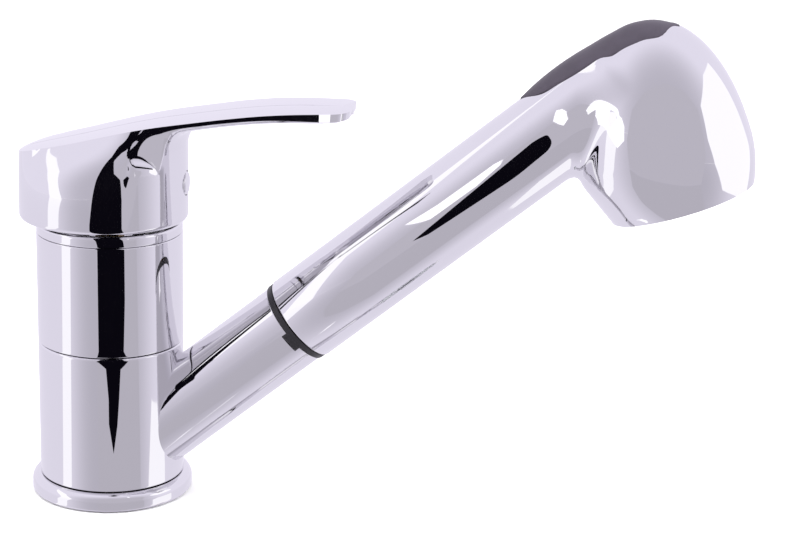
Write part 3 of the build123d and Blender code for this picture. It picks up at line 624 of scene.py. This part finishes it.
def lever_loops():
    """Closed loops from the lever's upper edge down its sides to the cap's lower edge."""
    half = 132
    x0, y0 = lever_outline(half + 1)
    z0 = through(LEVER_X, LEVER_TOP, x0)
    # the cap's wall is an ellipse in plan, met by lines that fan out from its centre
    turn = np.arctan2(y0 / CAP_HALF_W, (x0 - CAP_CENTRE) / CAP_HALF_L)
    turn[0], turn[-1] = np.pi, 0
    wall_x, wall_y = CAP_CENTRE + CAP_HALF_L * np.cos(turn), CAP_HALF_W * np.sin(turn)
    high = z0 - FLANK_FOOT
    side = through(SIDE_X, SIDE_H, x0)
    on_blade = eased(9, 24, x0)
    # outward across the outline, in plan
    out_x, out_y = np.gradient(y0), -np.gradient(x0)
    size = np.maximum(np.hypot(out_x, out_y), 1e-9)
    out_x, out_y = out_x / size, -out_y / size
    out_x[0], out_y[0], out_x[-1], out_y[-1] = -1, 0, 1, 0

    def flank(depth):
        """A point down the flank, which bulges from the narrow top to the wide wall."""
        grown = 1 - (1 - np.clip(depth / high, 0, 1)) ** 3.2
        cap = (x0 + (wall_x - x0) * grown, y0 + (wall_y - y0) * grown)
        blade = (x0 + out_x * 0.1 * depth, y0 + out_y * 0.1 * depth)
        return tuple(c + (b - c) * on_blade for c, b in zip(cap, blade))

    loops = []
    for part in (0, 0.06, 0.3, 0.55, 0.8, 0.94, 1.0):
        loops.append((*flank(side * part), z0 - side * part))
    edge_x, edge_y, edge_z = loops[-1]
    reach = np.hypot(wall_x - edge_x, wall_y - edge_y)
    bend = np.minimum(reach, SHOULDER_L)
    stepped = eased(7.2, 9.4, x0)
    # share of the way down at the end of the ledge, of its round and of the wall
    flat_end, round_end, wall_end = 0.22, 0.47, 0.8
    for t in (0.05, 0.1, 0.16, 0.25, 0.4, 0.6, 0.8, 0.999):
        gone = (reach - bend) * t + 0 * x0
        loops.append((gone, np.zeros_like(x0), t * flat_end))
    for turned_by in np.radians((12, 24, 36, 48, 60, 72, 82, 90)):
        gone = reach - bend + bend * np.sin(turned_by)
        level = flat_end + (round_end - flat_end) * turned_by / (np.pi / 2)
        loops.append((gone, SHOULDER_H * (1 - np.cos(turned_by)) + 0 * x0, level))
    for t in (0.2, 0.4, 0.6, 0.8, 1.0):
        loops.append((reach, t, round_end + (wall_end - round_end) * t))
    done = loops[:7]
    foot = None
    for gone, drop, level in loops[7:]:
        part = np.clip(gone / np.maximum(reach, 1e-6), 0, 1)
        x, y = edge_x + (wall_x - edge_x) * part, edge_y + (wall_y - edge_y) * part
        over = eased(21, 27, x0)
        under = lever_under(np.maximum(x, 24), y)
        roof = edge_z + (under - edge_z) * over * eased(0, 0.6, gone)
        # beside the blade the cap has a shoulder that rounds down to its wall
        close = np.clip(1 - (reach - gone) / SHOULDER_L, 0, 1)
        rounded_off = SHOULDER_H * (1 - np.sqrt(1 - close**2))
        ledge = np.minimum(edge_z, SHOULDER_Z - rounded_off)
        ledge = edge_z + (ledge - edge_z) * eased(0, 0.3, part)
        if level <= round_end + 1e-4:
            z = ledge + (roof - drop - ledge) * over
            foot = z
        else:
            z = foot + (WALL_TOP - foot) * drop
        depth = side + (z0 - WALL_TOP - side) * level / wall_end
        cap_x, cap_y = flank(depth)
        cap_z = z0 - depth
        done.append((
            cap_x + (x - cap_x) * stepped, cap_y + (y - cap_y) * stepped,
            cap_z + (z - cap_z) * stepped,
        ))
    last_x, last_y, _ = done[-1]
    for z, inset in ((102.5, 0), (99.6, 0), (99.2, 0), (98.7, 0.15), (98.2, 0.5), (97.9, 0.9),
                     (CAP_Z0, FOOT_INSET)):
        t = (WALL_TOP - z) / (WALL_TOP - CAP_Z0)
        scale_x, scale_y = 1 - inset / CAP_HALF_L, 1 - inset / CAP_HALF_W
        x, y = CAP_CENTRE + (wall_x - CAP_CENTRE) * scale_x, wall_y * scale_y
        near = eased(0, 0.25, t)
        done.append((last_x + (x - last_x) * near, last_y + (y - last_y) * near, 0 * x0 + z))
    full = []
    for x, y, z in done:
        x, z = np.concatenate([x, x[-2:0:-1]]), np.concatenate([z, z[-2:0:-1]])
        y = np.concatenate([-y, y[-2:0:-1]])
        full.append(np.stack([x, y, z], axis=1))
    return full


class MIXER_OT_lever(bpy.types.Operator):
    """Shapes the lever and its cap, and the plug over its set screw"""

    bl_idname = "mixer.lever"
    bl_label = "Lever and plug"

    def execute(self, context):
        loops = lever_loops()
        edge = loops[0]
        # the top is a sheet with a slight crown, drawn in from its edge
        top = []
        for share in (0.98, 0.93, 0.8, 0.6, 0.4, 0.2, 0.03):
            inner = edge.copy()
            inner[:, 1] *= share
            reach = np.interp(edge[:, 0], (-30.8, -20, 75, 83.4), (1, 0, 0, 1))
            inner[:, 0] += (np.clip(edge[:, 0], -27, 80) - edge[:, 0]) * (1 - share) * reach
            inner[:, 2] = through(LEVER_X, LEVER_TOP, inner[:, 0]) + 0.35 * (1 - share**2)
            top.append(inner)
        # the hollow under the cap, which narrows upwards
        wall = loops[-1].copy()
        wall[:, 0] = (wall[:, 0] - CAP_CENTRE) / (CAP_HALF_L - FOOT_INSET)
        wall[:, 1] /= CAP_HALF_W - FOOT_INSET
        inside = []
        for z, half_l, half_w in ((CAP_Z0, 26.9, 24.75), (CAP_Z0 + 0.5, 26.55, 24.35),
                                  (CAP_Z0 + HOLLOW_H, 26.55, 18.7)):
            inner = wall.copy()
            inner[:, 0] = CAP_CENTRE + wall[:, 0] * half_l
            inner[:, 1] *= half_w
            inner[:, 2] = z
            inside.append(inner)
        lever = skin("lever_casting", [*top[::-1], *loops, *inside], angle=38.0)
        # the boss that grips the cartridge's stem, its screw and the plug's seat
        foot, roof = node_box("stem_carrier")[1][2], CAP_Z0 + HOLLOW_H
        cut(lever, block("boss", (-7, -7, foot + 6), (7, 7, roof + 0.5)), "UNION")
        cut(lever, block("stem_slot", (-4.05, -4.05, foot), (4.05, 4.05, roof)))
        place = Matrix.Translation((0, 0, SCREW_Z * MM)) @ Matrix.Rotation(math.pi / 2, 4, "Y")
        cut(lever, rod("screw_bore", 2.55, 2.0, 25.5, place, 48))
        cut(lever, rod("plug_seat", 4.3, 23.5, 30.0, place, 64))
        dress(tidy(lever, 38.0), "chromed_zinc", "handle", "lever_handle")

        plug = turned("screw_plug", [
            (0, 24.6, 0), (4.15, 24.6, 0), (4.15, 27.3, 1.0), (0, 27.8, 0),
        ], 64, place)
        dress(plug, "chromed_plastic", "handle", "handle_plug")
        return {"FINISHED"}


# ---- The hand spray --------------------------------------------------------

HINGE_REACH = 44.3
HINGE = RIM - HINGE_REACH * OUTWARD  # the head's sections fan round this line under the neck
SHAFT_L = 138.0  # from the dock to the shaft's end inside the head
HINGE_DROP = -float((HINGE - ROOT) @ ABOVE)
SHELL_S0 = DOCK_S + SEAM


def soft_least(a, b, blend):
    """The lesser of two gaps, rounded where they cross."""
    h = np.clip(0.5 + 0.5 * (b - a) / blend, 0, 1)
    return b + (a - b) * h - blend * h * (1 - h)


def shaft_gap(p, radius):
    """How far points lie outside the shaft."""
    d = p - ROOT
    around = np.hypot(d @ ABOVE, p[..., 1]) - radius
    return -soft_least(-around, DOCK_S + SHAFT_L - d @ ALONG, 3.0)


def dome_gap(p):
    """About how far points lie outside the head's dome."""
    d = p - RIM
    u, h, y = d @ OUTWARD, d @ UPWARD, p[..., 1]
    low = np.clip((17.0 - h) / 17.0, 0, None)
    high = np.clip(h - 17.0, 0, None)
    centre = -0.6 + 0.6 * low**2 + 0.0013 * high**2
    rear = 1.2 * np.clip((34 - h) / 14, 0, 1)
    long_half = 28.4 * (1 - 0.148 * low**2) + np.where(u < centre, rear, 0)
    half = 23.6 * (1 - 0.1186 * low**2)
    reach = np.sqrt(
        ((u - centre) / long_half) ** 2 + (y / half) ** 2 + (high / 44.6) ** 2.12
    )
    gap = (reach - 1) * half
    wall = -24.2 - 0.40 * h + y**2 / 38.0 - u
    return -soft_least(-gap, -wall, 0.6)


def shell_loops(radius, blend, around=144):
    """Closed loops from the shaft's end, through the neck, to the head's rim."""
    psi = np.linspace(0, 2 * np.pi, around, endpoint=False)
    loops = []
    for s, inset in ((0.0, 0.5), (0.15, 0.2), (0.5, 0.0), (30.0, 0.0), (60.0, 0.0)):
        centre = ROOT + ALONG * (SHELL_S0 + s)
        r = radius - inset
        loops.append(
            centre + r * (np.cos(psi)[:, None] * ABOVE + np.sin(psi)[:, None] * (0, 1, 0))
        )
    start_turn, end_turn = math.degrees(SPOUT_ANGLE) + 90, math.degrees(RIM_TILT)
    turns = np.concatenate([
        np.linspace(start_turn, 100, 14)[:-1], np.linspace(100, 55, 60)[:-1],
        np.linspace(55, end_turn, 36),
    ])
    for turn in turns:
        way = np.array((math.cos(math.radians(turn)), 0, math.sin(math.radians(turn))))
        lean = math.radians(start_turn - turn)
        out = np.interp(
            turn, (19.5, 50, 75, 90, 100, 129.8), (HINGE_REACH, 50, 46, 37.5, 32.5, 28.6)
        )
        if turn > 100:
            out = HINGE_DROP / math.cos(lean)
        centre = HINGE + way * out
        ray = np.cos(psi)[:, None] * way + np.sin(psi)[:, None] * (0, 1, 0)
        near, far = np.zeros(around), np.full(around, 75.0)
        for _ in range(44):
            middle = (near + far) / 2
            p = centre + ray * middle[:, None]
            gap = soft_least(shaft_gap(p, radius), dome_gap(p), blend)
            near, far = np.where(gap < 0, middle, near), np.where(gap < 0, far, middle)
        loops.append(centre + ray * near[:, None])
    return loops


# Selector: way along the shaft past the dock, half width, crest and edge above its axis
ROCKER_S = (107.2, 113.0, 121.8, 130.4, 135.0, 143.0, 151.2, 158.0, 162.2)
ROCKER_HALF = (0.8, 6.5, 8.4, 9.5, 10.1, 10.7, 10.6, 8.3, 1.5)
ROCKER_CREST = (15.7, 16.4, 16.8, 16.4, 15.9, 15.0, 13.3, 9.2, 4.6)
ROCKER_EDGE = (15.3, 14.1, 13.1, 12.3, 11.6, 9.3, 7.0, 5.4, 4.3)
ROCKER_UNDER = (12.5, 9.5, 9.0, 8.8, 8.0, 6.0, 4.0, 3.0, 2.8)


def rocker_loops(grow=0.0, lift=0.0, sink=0.0, stations=44):
    """Closed loops of the selector from its rear tip to its front tip."""
    ends = np.linspace(0, 1, stations)
    s = ROCKER_S[0] - grow + (ROCKER_S[-1] - ROCKER_S[0] + 2 * grow) * ends
    at = np.clip(s, ROCKER_S[0], ROCKER_S[-1])
    half = through(ROCKER_S, ROCKER_HALF, at) + grow
    crest, edge, under = (
        through(ROCKER_S, heights, at) for heights in (ROCKER_CREST, ROCKER_EDGE, ROCKER_UNDER)
    )
    loops = []
    arc = np.linspace(-1, 1, 25)
    for k in range(stations):
        y = np.concatenate([arc * half[k], np.linspace(half[k], -half[k], 13)[1:-1]])
        rise = (crest[k] - edge[k]) * (1 - np.abs(arc) ** 2.2)
        high = np.concatenate([edge[k] + lift + rise, np.full(11, under[k] - sink)])
        y = np.insert(y, [25, len(y)], [half[k], -half[k]])
        high = np.insert(high, [25, len(high)], [under[k] - sink] * 2)
        centre = ROOT + ALONG * (DOCK_S + s[k])
        loops.append(centre + high[:, None] * ABOVE + y[:, None] * (0, 1, 0))
    return loops


class MIXER_OT_handset(bpy.types.Operator):
    """Draws the hand spray's plated shell over its shaft and head"""

    bl_idname = "mixer.handset"
    bl_label = "Hand spray shell"

    def execute(self, context):
        sizes = context.scene.mixer_sizes
        loops = shell_loops(sizes.shaft_r / MM, sizes.neck_blend / MM)
        shell = skin("spray_shell", loops, False, False)
        apply_modifier(
            shell, "SOLIDIFY", thickness=sizes.shell_wall, offset=-1.0, use_even_offset=True
        )
        recess = skin("selector_recess", rocker_loops(SEAM, 5.0, 2.4))
        cut(shell, recess)
        dress(tidy(shell, 30.0), "chromed_plastic", "handset", "handset_shell")
        return {"FINISHED"}


class MIXER_OT_selector(bpy.types.Operator):
    """Moulds the spray selector that rocks on top of the head"""

    bl_idname = "mixer.selector"
    bl_label = "Spray selector"

    def execute(self, context):
        rocker = skin("selector_pad", rocker_loops(), angle=50.0)
        apply_modifier(
            rocker, "BEVEL", width=0.5 * MM, segments=3, limit_method="ANGLE",
            angle_limit=math.radians(50),
        )
        dress(tidy(rocker, 60.0), "soft_black", "selector", "selector_rocker")
        return {"FINISHED"}


# ---- Carried-over nodes ----------------------------------------------------


class MIXER_OT_inside(bpy.types.Operator):
    """Gives every CAD node that is carried over the finish of its slot"""

    bl_idname = "mixer.inside"
    bl_label = "Carried-over nodes"

    def execute(self, context):
        for row in frame["record"]["subparts"]:
            obj = nodes[row["node"]]
            obj.data.materials.clear()
            obj.data.materials.append(finishes[row["material_slot"]])
        return {"FINISHED"}


# ---- Studio ----------------------------------------------------------------


def glow_material(name, rgb, strength):
    """Plain light of one colour."""
    mat = bpy.data.materials.new(name)
    mat.use_nodes = True
    tree = mat.node_tree
    tree.nodes.remove(tree.nodes["Principled BSDF"])
    glow = add_node(
        tree, "ShaderNodeEmission", values={"Color": (*rgb, 1.0), "Strength": strength}
    )
    out = tree.nodes["Material Output"].inputs["Surface"]
    tree.links.new(glow.outputs["Emission"], out)
    return mat, tree, glow


def reflected_only(obj, mat):
    """Makes a stage piece that shows only in reflections."""
    obj.data.materials.append(mat)
    obj.visible_camera = obj.visible_diffuse = obj.visible_shadow = False
    obj.visible_transmission = False
    return obj


def card(name, corners, rgb, strength):
    """A flat card through corners in millimetres, shown only in reflections."""
    bpy.ops.mesh.primitive_circle_add(vertices=len(corners), radius=0.1, fill_type="NGON")
    obj = start(name)
    for vert, corner in zip(obj.data.vertices, corners):
        vert.co = [c * MM for c in corner]
    return reflected_only(obj, glow_material(name, rgb, strength)[0])


def rounded(corners, steps=6):
    """An outline through corners, each a place and how far from it its curve starts."""
    points = []
    for k, (across, up, bend) in enumerate(corners):
        here = np.array((across, up), float)
        ends = []
        for other in (corners[k - 1], corners[(k + 1) % len(corners)]):
            way = np.array(other[:2], float) - here
            ends.append(here + way / np.hypot(*way) * bend)
        for t in np.linspace(0, 1, steps) if bend else (0,):
            points.append((1 - t) ** 2 * ends[0] + 2 * t * (1 - t) * here + t**2 * ends[1])
    return points


def far_card(name, origin, corners, distance, rgb, strength):
    """A card seen from a point: corners as degrees right of -Y and degrees up."""
    places = []
    for turn, rise in corners:
        a, e = math.radians(turn), math.radians(rise)
        way = Vector((math.sin(a) * math.cos(e), -math.cos(a) * math.cos(e), math.sin(e)))
        places.append(Vector(origin) + way * distance)
    return card(name, places, rgb, strength)


def area_light(name, place, aim, size, power):
    """A soft light of a given size in metres, aimed at a point."""
    bpy.ops.object.light_add(type="AREA", location=place)
    lamp = bpy.context.object
    lamp.name = name
    lamp.data.shape = "RECTANGLE"
    lamp.data.size, lamp.data.size_y = size
    lamp.data.energy = power
    lamp.visible_camera = lamp.visible_glossy = False
    way = Vector(aim) - Vector(place)
    lamp.rotation_euler = way.to_track_quat("-Z", "Y").to_euler()
    return lamp


class MIXER_OT_studio(bpy.types.Operator):
    """Sets the floor, the light and the camera"""

    bl_idname = "mixer.studio"
    bl_label = "Studio"

    def execute(self, context):
        scene = context.scene
        scene.view_settings.view_transform = "Standard"
        bpy.ops.mesh.primitive_plane_add(size=8.0, location=(0, 0, -0.0002))
        floor = start("floor")
        mat, tree, shader, where = finish_start(
            "matt_paper", {"Roughness": 0.9, "Specular IOR Level": 0.1}
        )
        value, _ = varied(tree, where, 40.0, 0.985, 1.0)
        tint = add_node(
            tree, "ShaderNodeMix", {"data_type": "RGBA", "blend_type": "MULTIPLY"},
            values={0: 1.0, 6: (*scene.mixer_colours.floor, 1.0)}, links={7: value},
        )
        tree.links.new(tint.outputs[2], shader.inputs["Base Color"])
        floor.data.materials.append(mat)

        world = bpy.data.worlds.new("studio")
        scene.world = world
        world.use_nodes = True
        world.node_tree.nodes["Background"].inputs["Color"].default_value = (1, 1, 1, 1)

        # a tent of white cloth: bright behind and beside the mixer, greyer round the camera
        bpy.ops.mesh.primitive_uv_sphere_add(segments=48, ring_count=24, radius=2.4)
        tent = start("tent")
        mat, tree, glow = glow_material("white_cloth", (0.985, 0.945, 1.08), 1.0)
        where = add_node(tree, "ShaderNodeTexCoord").outputs["Object"]
        front = add_node(
            tree, "ShaderNodeVectorMath", {"operation": "DOT_PRODUCT"},
            {1: (0.106, -0.396, 0.07)}, {0: where},
        )
        fade = add_node(
            tree, "ShaderNodeMapRange", {"interpolation_type": "SMOOTHSTEP"},
            {"From Min": 0.25, "From Max": 0.92, "To Min": 0.97, "To Max": 0.62},
            {"Value": front.outputs["Value"]},
        )
        tree.links.new(fade.outputs["Result"], glow.inputs["Strength"])
        reflected_only(tent, mat)

        # the shiny table top
        bpy.ops.mesh.primitive_circle_add(
            vertices=64, radius=2.3, fill_type="NGON", location=(0, 0, 0.00005)
        )
        table = start("table_top")
        mat, tree, shader, where = finish_start(
            "polished_table", {"Base Color": (0.93, 0.93, 0.93, 1), "Metallic": 1.0}
        )
        shader.inputs["Roughness"].default_value = 0.02
        reflected_only(table, mat)

        # painted reflections: what the chrome mirrors, dark strips close in front of it that
        # give its dark bands on the body, sleeve and lever
        dark = linear("#0b0911")
        white = (1.0, 0.985, 1.03)
        corners = (
            (8, 19), (6, 30), (6, 39), (5, 50), (1, 53), (2, 56), (2, 93), (0, 99), (0, 101),
            (1, 110), (2, 118), (3, 123), (5, 133), (4.5, 140), (7, 140.5), (12, 137.5),
            (13.5, 134), (15, 132.5), (18, 134), (20, 136), (75, 142), (75, 134), (50, 133),
            (32, 131), (20, 129.5), (15.5, 129), (13, 131.5), (11.5, 134.5), (9, 133.5),
            (7.5, 129), (9, 121), (12, 118), (13, 109), (13, 99), (15, 91), (15, 73), (14, 55),
            (17, 51), (12, 49), (11, 38), (10, 29),
        )
        card("dark_strip", [(x, -28, z) for x, z in corners], dark, 1.0)
        # painted reflection: a narrow dark strip that widens to a round end, below the hand
        # spray's shaft, which the shaft mirrors as a dark patch
        corners = rounded((
            (105.5, 98.5, 0), (143, 136, 2), (147.5, 138, 1.5), (150.3, 134.5, 1.5),
            (150.3, 131, 2), (140, 120.5, 4), (111, 100.5, 0),
        ))
        card("dark_by_spray", [(x, -20, z) for x, z in corners], dark, 1.0)
        # grey cloth in front of the spray head, bright cloth to its right
        corners = ((-37, 97), (6, 207), (99, 288), (246, 358), (415, 364), (523, 312),
                   (499, 193), (450, 80), (420, 2), (-30, 2))
        card("grey_cloth", [(x, -300, z) for x, z in corners], (0.61, 0.585, 0.66), 1.0)
        corners = ((-25, 256), (-111, 219), (-122, 163), (-106, 121), (-68, 74), (70, 74),
                   (90, 130), (60, 256))
        card("bright_cloth", [(330, y, z) for y, z in corners], white, 1.28)
        # a softbox to the left, and its two small images on the hand spray: painted highlights,
        # given by small glowing cards close to the shaft and the head
        corners = ((-61, 0), (-66, 14), (-78, 30), (-99, 44), (-108, 48), (-64, 37), (-52, 18),
                   (-43, 0))
        far_card("left_softbox", (0, 0, 0), corners, 1600, white, 1.3)
        corners = ((130, 158), (124, 166), (131, 162), (139, 155), (147, 145), (148, 140),
                   (143, 144), (135, 151))
        card("light_by_shaft", [(x, -45, z) for x, z in corners], white, 1.5)
        corners = ((-38, -1), (-42, 4), (-46, 5), (-49, 2), (-56, -4), (-66, -7), (-48, -16),
                   (-38, -10))
        far_card("light_by_head", (168, -19, 143), corners, 120, white, 1.5)

        area_light("key_softbox", (0.9, -0.5, 0.75), (0.05, 0, 0.08), (0.7, 0.9), 9.0)
        area_light("fill_softbox", (-0.8, -0.5, 0.7), (0.05, 0, 0.08), (0.7, 0.9), 6.0)
        area_light("top_softbox", (0.1, 0.1, 1.2), (0.1, 0, 0), (1.2, 1.2), 12.0)

        bpy.ops.object.camera_add(location=(0.1855, -0.6939, 0.2868))
        camera = bpy.context.object
        turn = Matrix.Rotation(math.radians(6.99), 4, "Z")
        tip = Matrix.Rotation(math.radians(90 - 16.135), 4, "X")
        roll = Matrix.Rotation(math.radians(1.527), 4, "Z")
        camera.rotation_euler = (turn @ tip @ roll).to_euler()
        camera.data.sensor_width = 36.0
        camera.data.lens = 96.9
        scene.camera = camera
        return {"FINISHED"}


# ---- Panel and registration ------------------------------------------------

OPERATORS = (
    MIXER_OT_inside, MIXER_OT_body, MIXER_OT_spout, MIXER_OT_lever, MIXER_OT_handset,
    MIXER_OT_selector, MIXER_OT_studio,
)


class MIXER_PT_panel(bpy.types.Panel):
    """Lists the mixer's operators, sizes and colours"""

    bl_idname = "MIXER_PT_panel"
    bl_label = "Mixer"
    bl_space_type = "VIEW_3D"
    bl_region_type = "UI"
    bl_category = "Mixer"

    def draw(self, context):
        for operator in OPERATORS:
            self.layout.operator(operator.bl_idname)
        for group in (context.scene.mixer_sizes, context.scene.mixer_colours):
            for name in group.bl_rna.properties.keys():
                if name not in ("rna_type", "name"):
                    self.layout.prop(group, name)


CLASSES = (MixerSizes, MixerColours, *OPERATORS, MIXER_PT_panel)


def register():
    """Registers the classes and hangs the settings on the scene."""
    for cls in CLASSES:
        bpy.utils.register_class(cls)
    bpy.types.Scene.mixer_sizes = bpy.props.PointerProperty(type=MixerSizes)
    bpy.types.Scene.mixer_colours = bpy.props.PointerProperty(type=MixerColours)


def unregister():
    """Takes the settings and the classes away again."""
    del bpy.types.Scene.mixer_sizes
    del bpy.types.Scene.mixer_colours
    for cls in reversed(CLASSES):
        bpy.utils.unregister_class(cls)


def main():
    """Builds every piece in order."""
    register()
    finishes.update(make_finishes(bpy.context.scene.mixer_colours))
    for operator in OPERATORS:
        group, name = operator.bl_idname.split(".")
        getattr(getattr(bpy.ops, group), name)()


if __name__ == "__main__":
    main()
